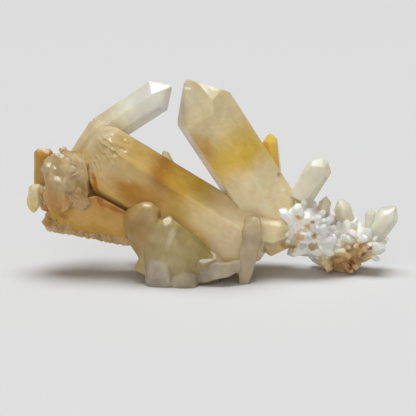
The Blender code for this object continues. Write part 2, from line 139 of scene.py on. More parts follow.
# The broken pieces with flat faces, as their corners.
BLOCKS = {
    "front_dome": (
        (-22.4, -7, 16.8), (-21.1, -7, 19.4), (-18.6, -8, 20.7), (-15.3, -8, 20.7), (-13.1, -7, 18.9),
        (-12.5, -7.5, 16.7), (-12.6, -8, 12.9), (-20.4, -10.2, 17.5), (-18.4, -10.6, 19.6),
        (-15.4, -10.8, 19.7), (-14, -11, 18.1), (-14, -11.6, 12.7), (-19.7, -10.6, 13), (-22, -7.5, 11.3),
        (-20.2, -8.5, 8.4), (-18.2, -9, 5.2), (-13.4, -9.5, 6.6), (-22.3, -1, 15.9), (-13.7, -1, 15.9),
        (-13.7, -1, 6.7), (-20.1, -1, 8), (-18.7, -1, 18.7), (-15.7, -1, 18.7)),
    "lump_left": (
        (-17.6, -9.8, 3.9), (-16.6, -9.8, 6.2), (-14.6, -10.3, 7.3), (-11.8, -10.3, 6.8), (-10, -10.8, 5.2),
        (-9.4, -11.3, 2.5), (-16.4, -12.3, 5.3), (-13.9, -12.9, 6.5), (-11, -13.3, 5.2), (-16.2, -13.1, 2.4),
        (-10.6, -13.9, 2.3), (-17.4, -4, 4.5), (-10.5, -4, 4.6), (-17.2, -10.8, -0.3), (-15.4, -13.5, -0.3),
        (-10.3, -14.1, -0.3), (-9.8, -10.3, -0.3), (-16.3, -5, -0.3), (-9.6, -5, -0.3)),
    "lump_middle": (
        (-11.3, -11.3, 2.7), (-9.4, -10.8, 4.2), (-6.2, -10.8, 4.2), (-3.4, -11.3, 3.1), (-2.9, -11.8, 1.4),
        (-9.9, -13.5, 3.2), (-6.7, -13.9, 4), (-4.2, -13.7, 2.3), (-11.3, -12.3, -0.3), (-9.9, -14.1, -0.3),
        (-4.1, -13.9, -0.3), (-3.4, -12.3, -0.3), (-11.1, -5, 3.8), (-3.4, -5, 3.8), (-11, -5, -0.3),
        (-3.6, -5, -0.3)),
    "lump_inner": (
        (-14.3, -9.7, 6.8), (-11, -10.2, 8.3), (-7, -10.7, 6), (-5.4, -11, 3.8), (-12.4, -12.2, 6.5),
        (-8.4, -12.6, 5.6), (-13.9, -11.2, 3.3), (-6, -11.7, 2.3), (-14.1, -4, 5.4), (-6.5, -4, 4.3),
        (-6.2, -4, 0.2), (-14.1, -4, 0.2)),
    "leg_lump": (
        (7.1, -7, 15.5), (8.2, -7, 17), (10.5, -7, 17.2), (12.2, -7, 15.8), (12.5, -7.5, 13.2),
        (12.7, -8, 10.6), (7, -9, 10.8), (8, -8.8, 15.9), (11, -8.8, 16.3), (11.7, -9.4, 13),
        (7.7, -9.6, 13.1), (7.7, -3, 15.8), (12.1, -3, 15.8), (12.6, -3, 9.5), (7.3, -3, 9.5)),
    "end_point_down": (
        (-47.4, 2, 22.3), (-46.6, 2, 23.4), (-44.7, 1.5, 23.5), (-44, 1.5, 21.9), (-44.2, 1.5, 18.5),
        (-45.5, 1.8, 16.4), (-46.3, 2, 15.8), (-48, 2.5, 17.1), (-47.7, 2.2, 20.2), (-46.4, 0.6, 22.1),
        (-44.8, 0.4, 22.1), (-44.9, 0.4, 18.5), (-46.5, 0.8, 18.4), (-47.6, 5, 22.3), (-43.4, 5, 22.3),
        (-43.6, 5, 17.1), (-47.7, 5, 17.1)),
    "pale_point": (
        (19.4, 1, 20.4), (22, -0.5, 25.9), (24, 0, 29.3), (25.3, 0, 29.9), (27.6, 1, 30.3), (29.2, 1, 29.5),
        (30.1, 1, 26.5), (28.9, 0, 24.8), (26.9, 0, 21.7), (24.7, 0, 18), (24.6, -1.6, 28.6),
        (28.2, -1.4, 28.3), (28, -1.6, 25.6), (23, -1.6, 19.4), (21, -1.4, 20.4), (19.9, 5, 18.6),
        (22.4, 5, 25), (24.7, 5, 28.4), (28, 5, 29.3), (29.6, 5, 28.4), (30.2, 5, 25.8), (25.2, 5, 17.1)),
    "tan_block": (
        (-44, 0, 27.9), (-42.8, -1, 30.2), (-38.5, -1.2, 32.3), (-35.6, -1.8, 32), (-35, -4.4, 28.9),
        (-37, -5.6, 25.3), (-40, -5.2, 25.4), (-43.2, -2.6, 25.8), (-40.8, -3.4, 20.7), (-36.9, -4.2, 21.4),
        (-31.6, -4.6, 29.6), (-31.4, -4.4, 20.8), (-43, 5, 29), (-36, 7, 31), (-31, 7, 30), (-31, 7, 21),
        (-42, 6, 22)),
    "left_block": (
        (-42.2, -3.6, 24.4), (-39.1, -4.4, 23.5), (-35.8, -4.8, 22), (-35.4, -5, 18.7), (-38, -4.6, 17.4),
        (-41.3, -4, 18.3), (-42.6, -3.4, 21), (-43, 2, 23.4), (-36.6, 2, 21.3), (-36.2, 2, 17.1),
        (-42.1, 2, 16.8)),
    "inner_block": (
        (-36.3, -5.2, 22.1), (-33.7, -5.6, 23.9), (-31, -5.4, 22.4), (-30.5, -5.8, 19.6), (-32.7, -6, 18.2),
        (-35.5, -5.6, 18.8), (-36.8, 1, 21), (-31.6, 1, 22), (-31.2, 1, 17.8), (-36.3, 1, 17.3)),
    "end_point_up": (
        (-45.6, 4, 30.6), (-42.3, 3.7, 30.7), (-43.3, 3.8, 22.6), (-45.9, 4.2, 22.5), (-46.3, 5.2, 31.2),
        (-46.6, 5.2, 22.3), (-45.3, 5.4, 32.1), (-42.2, 5.4, 32.1), (-41.4, 5, 31.1), (-42, 5, 28.6),
        (-42.6, 5, 22.3), (-45.9, 8, 31.3), (-42.3, 8, 31.3), (-43.1, 8, 21.3), (-46.5, 8, 21.3)),
    "lower_body": (
        (-41.2, -2.4, 18.6), (-29.4, -5.2, 21.8), (-22.4, -6.2, 18.2), (-17, -6, 13), (-16, -4.4, 7.7),
        (-24, -2.8, 9.3), (-33.5, -0.8, 11.2), (-40, 0.2, 11), (-42.6, 0.8, 12.4), (-43.6, 1.2, 15.4),
        (-42, 7, 16), (-40, 7.5, 12.4), (-20, 7, 8.5), (-18, 6, 13)),
    "olive_body": (
        (-12.8, -11.4, 17.2), (-11, -12.2, 17.6), (-10.4, -12.7, 15.9), (-12, -12.3, 14.9), (0.4, -11, 6.2),
        (1.4, -9.6, 3), (-9, -13.2, 8.4), (-7.6, -12.9, 3.4), (-17, -10.9, 9.4), (-16.6, -10.8, 3.4),
        (-11, -4, 16.4), (2, -3, 6.4), (-16.5, -3, 9), (-16, -3, 2), (2, -3, 2)),
    "stub": (
        (-17.9, -9.4, 8.7), (-19.5, -9.6, 5.9), (-20.9, -9.5, 3.3), (-17.7, -10.4, 2.6), (-16.6, -10.6, 4.2),
        (-16.6, -6, 8.4), (-19.4, -6.4, 3.4), (-16.4, -6, 2.2)),
    "lying_block": (
        (-3.6, -11.4, 5.9), (-4.2, -11.9, 3.2), (-3.2, -12.2, 1), (-1.4, -12.6, 0.9), (6.4, -11.2, 5.9),
        (6.5, -11.2, 3.4), (1.8, -12.8, 5.9), (2.4, -12.9, 2.6), (-3, -7, 5.6), (6, -7, 5.6), (-2.6, -7, 1),
        (6, -7, 3)),
    "leg": (
        (6.9, -8.8, 13.6), (12.7, -8.4, 13.2), (11.5, -7.8, 8.3), (6.8, -9.4, 8.5), (8.8, -10.4, 9.4),
        (6.6, -9.8, 5), (9.9, -8.6, 4), (5.9, -9.6, 0.9), (6.2, -10.4, -1), (8.8, -9.6, -1), (9.2, -8.8, 1),
        (8, -4.6, 13.6), (12.2, -4.6, 13), (7, -6.2, -1), (9, -5.8, -1)),
}

# How wide the worn edges are of the broken pieces that stand alone.
WORN = {"end_point_up": 0.12, "pale_point": 0.12, "lower_body": 0.4}
WORN_EDGE = 0.3

# The broken pieces that run into each other, as (how widely they run together, the size of the mesh's
# squares, how deep and how long its flat folds are, and how far each piece's own edges are rounded).
RUN_TOGETHER = {
    "front_pieces": (0.22, 0.36, 0.24, 4.4, {
        "front_dome": 0.35, "olive_body": 0.2, "lump_left": 0.45, "lump_middle": 0.45, "lump_inner": 0.4,
        "stub": 0.2, "leg": 0.35, "leg_lump": 0.5, "lying_block": 0.2}),
    "left_pieces": (0.10, 0.28, 0.40, 3.4, {
        "tan_block": 0.08, "left_block": 0.07, "inner_block": 0.08, "end_point_down": 0.10}),
}
RIPPLE_DEPTH = 0.08
RIPPLE_LENGTH = 3.2
RIPPLE_SEED = 7
FOLD_SEED = 3
SETTLING_STEPS = 4
LEAST_SLOPE = 0.2  # the least squared slope that a step divides by
FACE_RISE = 0.6  # how far flat faces move out, in roundings, so that the rounded edges keep their place

# Each piece's own colour, as red, green and blue out of 255, and how clear it is.
TINTS = {
    "great_point": ((186, 154, 82), 0.18), "tall_point": ((202, 184, 138), 0.25),
    "clear_point": ((222, 220, 202), 0.50), "clear_shoulder": ((198, 174, 126), 0.35),
    "end_point_up": ((168, 130, 44), 0.15), "end_point_down": ((206, 192, 148), 0.45),
    "root_right": ((222, 201, 160), 0.22), "pale_point": ((208, 206, 190), 0.45),
    "amber_side_point": ((228, 186, 78), 0.30), "edge_bump": ((196, 176, 134), 0.40),
    "tan_tip_left": ((214, 202, 176), 0.45), "tan_tip_right": ((220, 210, 188), 0.45),
    "back_point_up": ((206, 194, 160), 0.40), "back_point_left": ((190, 165, 112), 0.30),
    "back_point_right": ((206, 198, 176), 0.45), "tan_block": ((170, 144, 92), 0.40),
    "left_block": ((172, 138, 72), 0.25), "inner_block": ((174, 138, 84), 0.35),
    "lower_body": ((178, 138, 56), 0.15), "olive_body": ((156, 138, 80), 0.30),
    "stub": ((176, 156, 104), 0.30), "lying_block": ((172, 162, 142), 0.45), "leg": ((168, 152, 124), 0.30),
    "front_dome": ((162, 134, 76), 0.28), "lump_left": ((160, 149, 132), 0.30),
    "lump_middle": ((162, 150, 128), 0.28), "lump_inner": ((172, 154, 118), 0.22),
    "leg_lump": ((190, 174, 140), 0.30), "far_point": ((218, 216, 200), 0.45),
    "far_small_point": ((218, 216, 200), 0.45), "root_middle": ((210, 194, 156), 0.20),
    "root_back": ((176, 152, 104), 0.20), "left_root": ((170, 134, 72), 0.20),
    "front_chunk_right": ((160, 143, 108), 0.2), "brown_chunk_upper": ((150, 104, 48), 0.10),
    "brown_chunk_lower": ((160, 118, 66), 0.10), "top_crumb": ((200, 172, 128), 0.30),
    "matrix_upper": ((232, 226, 210), 0.15), "matrix_left": ((232, 226, 210), 0.15),
    "matrix_middle": ((222, 208, 180), 0.10), "matrix_right": ((222, 206, 176), 0.10),
}
BANDED = {
    "great_point", "tall_point", "clear_point", "clear_shoulder", "end_point_up", "end_point_down",
    "left_block", "lower_body", "root_middle", "left_root"}
DRUSE_TINT = ((248, 245, 224), 0.22)
CRUST_TINT = ((180, 154, 112), 0.20)

# Soft bands of colour inside the large points, and painted shade on the great point's top face, noted where
# it
# stands: middle, half sizes, lean about Y in degrees, softness of the rim, how strongly it covers, red, green
# and blue, and how clear it is there.
BANDS_AND_PAINTED_SHADE = (
    ((-25.8, -4, 31), (9, 30, 7), 31, 0.5, 0.85, (194, 174, 128), 0.34),
    ((-15.8, -4, 29), (9, 30, 7), 31, 0.5, 0.85, (190, 164, 96), 0.24),
    ((-18.5, -7, 22), (9.5, 30, 3.6), 24, 0.6, 0.95, (160, 112, 0), 0.08),
    ((-3.5, -7, 19.6), (6, 30, 4.4), 40, 0.7, 0.8, (186, 160, 96), 0.20),
    ((0.5, -4, 22), (7, 30, 3.2), 31, 0.6, 0.8, (194, 178, 138), 0.24),
    # Painted shade: darkens the great point's up-facing top face, which the overhead light makes too bright.
    ((-11.4, -2, 27.7), (19, 30, 2.6), 31, 0.8, 0.6, (156, 122, 40), 0.10),
    # The great point's own deep mango band, made darker still as painted shade where its face looks up at the
    # light.
    ((-9.4, -4, 26.2), (8.4, 30, 6.6), 33, 0.6, 1, (130, 84, 0), 0.03),
    ((-2.6, -7, 18.6), (5.4, 30, 5), 40, 0.6, 0.9, (198, 180, 128), 0.26),
    ((5, -7, 12.5), (6, 30, 8), 31, 0.35, 0.95, (180, 162, 128), 0.20),
    ((-5, -2, 47), (9, 30, 9), 57, 0.5, 0.8, (187, 176, 144), 0.34),
    ((1, -4, 39), (8, 30, 12), 57, 0.5, 0.8, (202, 188, 148), 0.30),
    ((4, -4, 30.5), (7.4, 30, 18), 57, 0.95, 1, (202, 172, 58), 0.20),
    ((-2.8, -3, 33.4), (4.6, 30, 3), 57, 0.7, 0.85, (178, 136, 56), 0.15),
    ((10.5, -4, 20), (9, 30, 14), 57, 0.6, 0.95, (222, 202, 164), 0.28),
    ((11, -1, 25), (1, 30, 5), -8, 0.8, 0.35, (222, 214, 190), 0.3),
    ((12.5, -1, 18), (0.9, 30, 5), 6, 0.8, 0.35, (224, 214, 190), 0.3),
    ((-14, 5, 46), (8, 30, 7), -27, 0.5, 0.9, (234, 231, 214), 0.48),
    ((-29.5, 6, 38.6), (7, 30, 6), -35, 0.7, 0.8, (198, 184, 148), 0.40),
    ((-46.6, 3, 17.2), (3, 30, 2.6), 0, 0.5, 0.9, (206, 186, 116), 0.35),
    ((-44, 6, 31), (3, 30, 3.4), 0, 0.6, 0.6, (160, 114, 14), 0.12),
    ((-39, -4, 20), (5.5, 30, 2.4), 10, 0.6, 0.6, (160, 112, 30), 0.15),
    ((-26, -2, 9.4), (14, 30, 1.4), 8, 0.6, 0.5, (182, 156, 112), 0.25),
)

# Small marks on whatever is there, as for the bands. Some are painted shade, painted highlights and a painted
# glow, each noted where it stands.
MARKS_AND_PAINTED_LIGHT = (
    # Painted shade: these three dark mango marks paint the shaded crevice under the great point's lower-left
    # edge.
    ((-30, -6.5, 25.4), (0.8, 4, 4.4), -18, 0.35, 0.9, (150, 92, 0), 0.10),
    ((-28.6, -7, 20.8), (0.8, 4, 3.4), -18, 0.35, 0.9, (146, 88, 0), 0.10),
    ((-25.4, -7, 18.6), (4.2, 4, 0.75), 22, 0.35, 0.9, (150, 90, 0), 0.10),
    ((16.5, 2, 26.2), (0.8, 5, 0.7), 0, 0.7, 0.8, (120, 108, 84), 0.1),
    ((-38.3, -2, 15.8), (1.6, 5, 0.7), 20, 0.6, 0.7, (140, 92, 34), 0.1),
    ((-42.5, -1, 16.6), (1, 5, 1.6), 0, 0.6, 0.7, (146, 100, 44), 0.1),
    ((-42.1, -1, 13.6), (1.1, 5, 1.6), 0, 0.6, 0.7, (146, 100, 44), 0.1),
    ((21.6, -4, 16), (1, 9, 0.8), 20, 0.5, 0.9, (186, 156, 118), 0.2),
    ((23.4, -4, 13.4), (1.1, 9, 0.9), -30, 0.5, 0.9, (192, 160, 122), 0.2),
    ((21.7, -4, 11.2), (1.5, 9, 1.5), 0, 0.5, 0.9, (186, 154, 118), 0.2),
    ((25.5, -4, 11.3), (0.8, 9, 0.9), 0, 0.5, 0.9, (192, 160, 120), 0.2),
    ((25.4, -4, 8.3), (1.5, 9, 1.3), 30, 0.4, 0.9, (164, 136, 106), 0.2),
    ((24.9, -4, 14.9), (0.7, 9, 0.6), 0, 0.5, 0.9, (140, 116, 92), 0.2),
    ((34.6, -1, 4), (8, 14, 4.6), -28, 0.5, 0.9, (166, 130, 76), 0.1),
    ((35.2, -1, 2), (0.6, 9, 0.6), 0, 0.4, 0.9, (110, 66, 34), 0.1),
    ((35.9, -1, 3.5), (0.7, 9, 0.6), 0, 0.4, 0.9, (128, 80, 42), 0.1),
    ((38.5, -1, 5.4), (0.7, 9, 0.7), 0, 0.4, 0.9, (120, 76, 40), 0.1),
    ((30.8, -1, 2.4), (0.6, 9, 0.5), 0, 0.4, 0.9, (128, 88, 50), 0.1),
    ((33.8, -1, 4.6), (0.6, 9, 0.6), 0, 0.4, 0.9, (150, 112, 66), 0.1),
    ((37.9, -1, 7.6), (0.6, 9, 0.6), 0, 0.4, 0.9, (150, 104, 66), 0.1),
    ((40.2, -1, 7.4), (0.7, 9, 0.6), 0, 0.4, 0.9, (140, 92, 54), 0.1),
    ((19.1, -2, 8), (2.6, 9, 1.3), 30, 0.5, 0.8, (160, 118, 40), 0.2),
    ((-6.4, -2, 48.4), (0.8, 5, 0.6), 0, 0.6, 0.8, (236, 232, 216), 0.2),
    # Painted glow: a pale patch on the tall point's top.
    ((0.1, -3, 48.6), (1.8, 5, 0.7), 16, 0.6, 0.7, (232, 228, 206), 0.2),
    ((16, 2, 24.7), (0.6, 5, 0.4), -20, 0.6, 0.8, (240, 236, 220), 0.2),
    ((17.6, 2, 22.3), (0.7, 5, 0.5), -20, 0.6, 0.8, (240, 236, 220), 0.2),
    # Painted highlights: a pale spot on the olive point's small tip face and a pale stripe on its left facet.
    ((-11.5, -12, 16.7), (1.1, 3, 1.3), 30, 0.4, 0.8, (214, 208, 188), 0.2),
    ((-10.4, -13, 13), (0.9, 3, 3.6), 20, 0.7, 0.6, (196, 186, 152), 0.3),
)

# Where the surface is broken into ledges: the middle and half sizes of an oval, the way the ledges climb, the
# distance between them, and their depth.
LEDGES = (
    ((-25, -6, 35.2), (8.5, 7, 5.4), (0.25, -0.2, 0.95), 1.7, 0.75),
    ((-31, -5, 31), (3.6, 5, 6), (0.85, 0, 0.5), 1.6, 0.35),
    ((-27, -6, 24), (6, 5, 3), (0.35, 0, 0.94), 1.3, 0.22),
    ((-38.5, -5, 25.5), (5.5, 4, 3), (0.3, 0, 0.95), 2.3, 0.30),
    ((-33.5, -4, 27), (2.6, 4, 6), (0.95, 0, -0.3), 1.9, 0.32),
    ((-36, -2, 31), (6, 4, 2.4), (0.7, 0.3, 0.6), 2.1, 0.30),
    ((-38.5, -4, 19), (4, 4, 3), (1, 0, 0.05), 1.7, 0.45),
    ((-33.5, -5, 20.5), (4, 3, 3), (0.5, 0, 0.85), 1.3, 0.40),
    ((-39.5, -1.5, 14.6), (4.4, 4, 3.6), (0.6, 0.3, 0.75), 1.3, 0.50),
    ((-29, -2.5, 11.5), (12, 4, 2.2), (0.2, 0, 0.98), 1.1, 0.30),
    ((-20, -5, 10.5), (4, 4, 4), (0.75, 0, 0.65), 1.2, 0.28),
    ((-20.5, -8, 14), (3.4, 5, 5.6), (0.95, 0, 0.3), 1.7, 0.30),
    ((-15, -10, 19), (3.4, 4, 2.4), (0.6, 0, 0.8), 1.5, 0.16),
    ((-9, -12, 7), (7, 4, 3.4), (0.7, 0, 0.7), 2.4, 0.14),
    ((-3, -12, 3.4), (1.8, 3, 3), (0.9, 0, 0.4), 0.7, 0.28),
    ((5.6, -12, 4.6), (1.6, 3, 2), (0.7, 0, 0.7), 0.7, 0.28),
    ((-13.6, -11, 3.4), (4.4, 4, 3.2), (0.4, 0, 0.9), 2, 0.22),
    ((-7.4, -11, 2.4), (4.4, 4, 2.2), (0.9, 0, 0.4), 2, 0.22),
)

# The blunt chunks of the root and of the matrix, as (middle, half sizes).
CHUNKS = {
    "front_chunk_right": ((-2.5, -7.2, 4.2), (5.4, 5, 5.4)),
    "root_middle": ((2.5, -0.5, 8.5), (11, 7, 6.6)),
    "root_back": ((-9, 6.5, 6.5), (10, 6, 8)),
    "left_root": ((-35.5, 3, 20.4), (7.5, 5, 6)),
    "brown_chunk_upper": ((-43, 1.5, 17.6), (1.5, 1.5, 1.3)),
    "brown_chunk_lower": ((-42.2, 0.5, 13.8), (1.8, 1.6, 1.5)),
    "top_crumb": ((-38.4, 2, 32.2), (1.1, 1, 0.9)),
    "matrix_upper": ((22.6, 0.2, 13.2), (6.4, 5, 5.2)),
    "matrix_left": ((25.4, 0.2, 9.4), (6, 4.8, 4.8)),
    "matrix_middle": ((32.5, 4.5, 6), (7.2, 5.5, 6.6)),
    "matrix_right": ((38.5, 3.5, 7), (5, 4.5, 4.4)),
}
CHUNK_FACES = 22
CHUNK_LEAN = 0.12  # how far a chunk's faces lean off an even spread
CHUNK_DEPTH = (0.82, 1.0)  # how far out they stand, in half sizes
CHUNK_WORN_EDGE = 0.05  # in the smallest half size

# The quartz's finish. A noise is the size of its lumps in millimetres, its detail and its roughness, and a
# range is where it starts and ends and what it gives there. A wander is how far a rim wanders, and its noise.
BAND_WANDER = (3.2, (7.0, 2.0))
MARK_WANDER = (1.6, (1.6, 3.0))
CLOUD_NOISE, CLOUD_RANGE = (8.0, 2.0, 0.5), (0.3, 0.7)
CLOUD_COVER = 0.6  # how strongly a cloud's colour covers the clearest quartz
CLOUD_CLEARNESS = 0.15
MOTTLE_NOISE, MOTTLE_RANGE = (2.2, 5.0, 0.62), (0.32, 0.68, 0.955, 1.045)
FLECK_SIZES = (1.6, 1.0, 0.7)
FLECK_NOISE, FLECK_RANGE = (1.0, 3.0, 0.6), (0.58, 0.80, 0.0, 0.12)
STREAK_SIZES = (5.0, 1.2, 0.5)
STREAK_NOISE, STREAK_RANGE = (1.0, 3.0, 0.6), (0.3, 0.7, 0.96, 1.04)
GROWTH_LEAN = 31  # how far the flecks and streaks lean about Y, in degrees
ROUGHNESS_RANGE = (0.1, 0.65, 0.24, 0.15)
LIFT = 1.36  # how much lighter the quartz is than it looks under the room's light
QUARTZ = {
    "IOR": 1.544, "Specular IOR Level": 0.28, "Subsurface Weight": 0.75,
    "Subsurface Radius": (1.0, 0.86, 0.6), "Subsurface Scale": 2.2 * MM}
BUMP = {"Strength": 0.45, "Distance": 0.12 * MM}
BUMP_FINE = (0.9, 4.0)
BUMP_COARSE, BUMP_COARSE_SHARE = (3.0,), 2.0

# The stage. A light is its strength, its angle in degrees, its colour and where it shines from.
FLOOR_ROUGHNESS = 0.9
ROOM = {"Color": (1.0, 0.79, 0.62, 1), "Strength": 0.21}
LIGHTS = {
    "overhead": (3.05, 38, (0.895, 0.945, 0.985), (-0.02, 0.09, 1.0)),
    "front_fill": (1.15, 70, (1.0, 1.0, 1.0), (-0.25, -1.0, 0.3)),
}
CAMERA_LENS, CAMERA_CLIP = 100, 0.01
CAMERA_PITCH = math.radians(11)
CAMERA_AIM = (-1.4, 0.0, 17.5)
CAMERA_DISTANCE = 0.2958  # in metres

# How the shapes are cut, joined and stepped, and how the small crystals are scattered.
FLOOR_FACE = ((0, 0, 0), (0, 0, -1))
SAME_CORNER = 2e-6  # how near two corners of a cloud are, in metres, to count as one
FLAT_ANGLE = math.radians(0.4)  # how little two faces turn, to count as one flat face
SHARP_ANGLE = math.radians(14)  # where the joined body's shading has an edge
FINE_EDGE = 0.42  # the longest edge where there are ledges
HALVINGS = 7
LEDGE_BENDS = (0.9, 5.5, 0.16, 1.2)  # how far and over what length they bend, twice, in their own spacing
LEDGE_CLIMB, LEDGE_FALL = 0.82, 0.18  # the shares of a ledge that climb slowly and that fall steeply
DRUSE_SHARES = {"matrix_upper": 0.22, "matrix_left": 0.22, "matrix_middle": 0.34, "matrix_right": 0.22}
DRUSE_SEED = 11
DRUSE_LOWEST = 0.7  # how far down the druse goes, where 1 is straight down
DRUSE_BED = 0.9  # how far out on a chunk it stands, in half sizes
DRUSE_SPREAD = ((-0.9, 0.9), (-0.6, 0.4), (-0.3, 0.8))  # how far a crystal may lean away, along X, Y and Z
DRUSE_REACH = (0.2, 1.0)  # its reach, in the tallest's, before the power that makes more of them short
DRUSE_POWER = 1.2
DRUSE_SLENDER = (0.3, 0.7)  # the share of its width that it always has, and the share that its reach gives
DRUSE_THINNER = (0.6, 1.0)
DRUSE_ROOT = 2.0
CRUST_SEED = 5
CRUST_ENDS = (Vector((-42.4, 0.6, 12.0)), Vector((-17.5, -4.2, 8.3)))
CRUST_SHIFT = (0.2, 0.8)  # where a crystal stands in its own step along the edge
CRUST_SPREAD = ((-0.7, 0.4), (-0.9, 0.1))  # how far it may lean, along X and Y
CRUST_HALF_WIDTH = (0.4, 1.0)
CRUST_REACH = 0.9  # in half widths
CRUST_ROOT = 3


class QuartzSizes(bpy.types.PropertyGroup):
    """The sizes that a user would change."""

    druse_count: IntProperty(
        name="Druse crystals", description="How many small crystals stand on the matrix", default=260, min=10)
    druse_half_width: FloatProperty(
        name="Druse half width", description="Half the width of the widest druse crystal", default=1.4 * MM,
        unit="LENGTH")
    druse_height: FloatProperty(
        name="Druse height", description="How far the tallest druse crystal stands out", default=4.2 * MM,
        unit="LENGTH")
    crust_count: IntProperty(
        name="Crust crystals", description="How many tiny crystals line the lower edge", default=80, min=5)
    floor_size: FloatProperty(
        name="Floor size", description="The floor's width", default=16.0, unit="LENGTH")


class QuartzColours(bpy.types.PropertyGroup):
    """The colours that a user would change."""

    cloud: FloatVectorProperty(
        name="Cloud", description="The milky clouds in the clear parts", default=(0.7605, 0.7011, 0.5520),
        subtype="COLOR")
    fleck: FloatVectorProperty(
        name="Fleck", description="The pale flecks inside the crystals", default=(0.8714, 0.8069, 0.6172),
        subtype="COLOR")
    floor: FloatVectorProperty(
        name="Floor", description="The pale floor", default=(0.62, 0.62, 0.62), subtype="COLOR")


def cluster_place(point):
    """A table's place in metres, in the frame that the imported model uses."""
    return (Vector(point) + CENTRE) * MM


def crystal_faces(tip, foot, sides, caps, taper):
    """The outward normals and the distances of a crystal's faces, in its own axes, in millimetres.

    The axes start at the foot, with Z along the crystal. Six prism faces stand square to directions 60
    degrees apart and lean in by the taper. Six closing faces lean from Z at quartz's own angle, and cross Z
    at the tip or past it. The last face closes the foot."""
    length = (Vector(tip) - Vector(foot)).length
    lean = math.radians(taper)
    around = np.arange(SIDES) * SIDE_STEP
    ring = np.stack([np.cos(around), np.sin(around), np.zeros(SIDES)], 1)
    up = np.array((0.0, 0.0, 1.0))
    normals = np.vstack([
        ring * math.cos(lean) + up * math.sin(lean),
        ring * math.sin(CAP_LEAN) + up * math.cos(CAP_LEAN),
        -up])
    distances = np.concatenate([
        np.asarray(sides) * math.cos(lean) + length / 2 * math.sin(lean),
        (length + np.asarray(caps)) * math.cos(CAP_LEAN),
        [0.0]])
    return normals, distances


def corners_behind(normals, distances):
    """The corners of the solid behind a set of flat faces.

    Every three faces meet in one point, found by solving the three plane equations together. The points that
    lie behind all the other faces are the corners."""
    trios = np.array(list(itertools.combinations(range(len(normals)), 3)))
    slopes = normals[trios]
    meeting = np.abs(np.linalg.det(slopes)) > NEAR
    points = np.linalg.solve(slopes[meeting], distances[trios[meeting]][..., None])[..., 0]
    return points[(points @ normals.T <= distances + NEAR).all(1)]


def crystal_matrix(tip, foot, turn):
    """A crystal's own axes, placed at its foot: Z along it, and X square to the first side."""
    tip, foot = Vector(tip), Vector(foot)
    front = Vector((0, -1, 0))
    along = (tip - foot).normalized()
    facing = (front - along * front.dot(along)).normalized()
    facing.rotate(Matrix.Rotation(math.radians(turn), 3, along))
    matrix = Matrix((facing, along.cross(facing), along)).transposed().to_4x4()
    matrix.translation = foot
    return matrix


def linear(colour):
    """Red, green and blue out of 255, as a linear colour."""
    shares = np.array(colour) / 255
    return np.where(shares < 0.04045, shares / 12.92, ((shares + 0.055) / 1.055) ** 2.4)


def tint_row(name, tint=None):
    """A piece's linear colour, how clear it is, and 1 if the points' bands run through it."""
    colour, clearness = tint or TINTS[name]
    return (*linear(colour), clearness, 1.0 if name in BANDED else 0.0)


def store_tints(mesh, rows):
    """Store a tint row on each of a mesh's corners."""
    layer = mesh.color_attributes.new("tint", "FLOAT_COLOR", "CORNER")
    layer.data.foreach_set("color", rows[:, :4].astype(np.float32).ravel())
    share = mesh.color_attributes.new("banded", "FLOAT_COLOR", "CORNER")
    share.data.foreach_set("color", np.repeat(rows[:, 4], 4).astype(np.float32))


def cut_at_floor(body):
    """Cut a closed body off at the floor, and close the cut with one flat face."""
    everything = [*body.verts, *body.edges, *body.faces]
    point, down = FLOOR_FACE
    cut = bmesh.ops.bisect_plane(body, geom=everything, plane_co=point, plane_no=down, clear_outer=True)
    rim = [part for part in cut["geom_cut"] if isinstance(part, bmesh.types.BMEdge)]
    if rim:
        bmesh.ops.edgeloop_fill(body, edges=rim)


def skin_of(corners):
    """The flat-faced skin over a cloud of corners in table millimetres, as a bmesh in metres."""
    body = bmesh.new()
    for corner in (np.array(corners) + np.array(CENTRE)) * MM:
        body.verts.new(corner)
    bmesh.ops.remove_doubles(body, verts=body.verts, dist=SAME_CORNER)
    hull = bmesh.ops.convex_hull(body, input=body.verts)
    left_over = hull["geom_interior"] + hull["geom_unused"]
    inner = {part for part in left_over if isinstance(part, bmesh.types.BMVert)}
    bmesh.ops.delete(body, geom=list(inner), context="VERTS")
    bmesh.ops.dissolve_limit(body, angle_limit=FLAT_ANGLE, verts=body.verts, edges=body.edges)
    bmesh.ops.recalc_face_normals(body, faces=body.faces)
    return body


def skin_faces(corners):
    """The outward normals and the distances from 0 of a skin's flat faces, in millimetres."""
    body = skin_of(corners)
    body.normal_update()
    normals = np.array([face.normal for face in body.faces])
    middles = np.array([face.calc_center_median() for face in body.faces]) / MM
    body.free()
    return normals, (normals * middles).sum(1)


def places_of(mesh):
    """The places of a mesh's corners in millimetres, as rows of an array."""
    places = np.empty(len(mesh.vertices) * 3)
    mesh.vertices.foreach_get("co", places)
    return places.reshape(-1, 3) / MM


def run_together_field(places, faces, roundings, width):
    """How far places lie outside pieces that run together, which way that grows, and each piece's share.

    A piece's own distance is the smooth maximum of its faces' distances, r (log(sum exp(d / r)) - FACE_RISE),
    which rounds its edges. The pieces together are the smooth minimum of those, -w log(sum exp(-d / w)),
    which fills their joints."""
    distances, ways = [], []
    for (normals, offsets), rounding in zip(faces, roundings):
        beyond = (places @ normals.T - offsets) / rounding
        highest = beyond.max(1, keepdims=True)
        weights = np.exp(beyond - highest)
        total = weights.sum(1, keepdims=True)
        distances.append(rounding * (highest + np.log(total) - FACE_RISE)[:, 0])
        ways.append(weights / total @ normals)
    nearness = -np.array(distances).T / width
    highest = nearness.max(1, keepdims=True)
    shares = np.exp(nearness - highest)
    total = shares.sum(1, keepdims=True)
    shares /= total
    way = np.einsum("ps,spx->px", shares, np.array(ways))
    return -width * (highest + np.log(total))[:, 0], way, shares


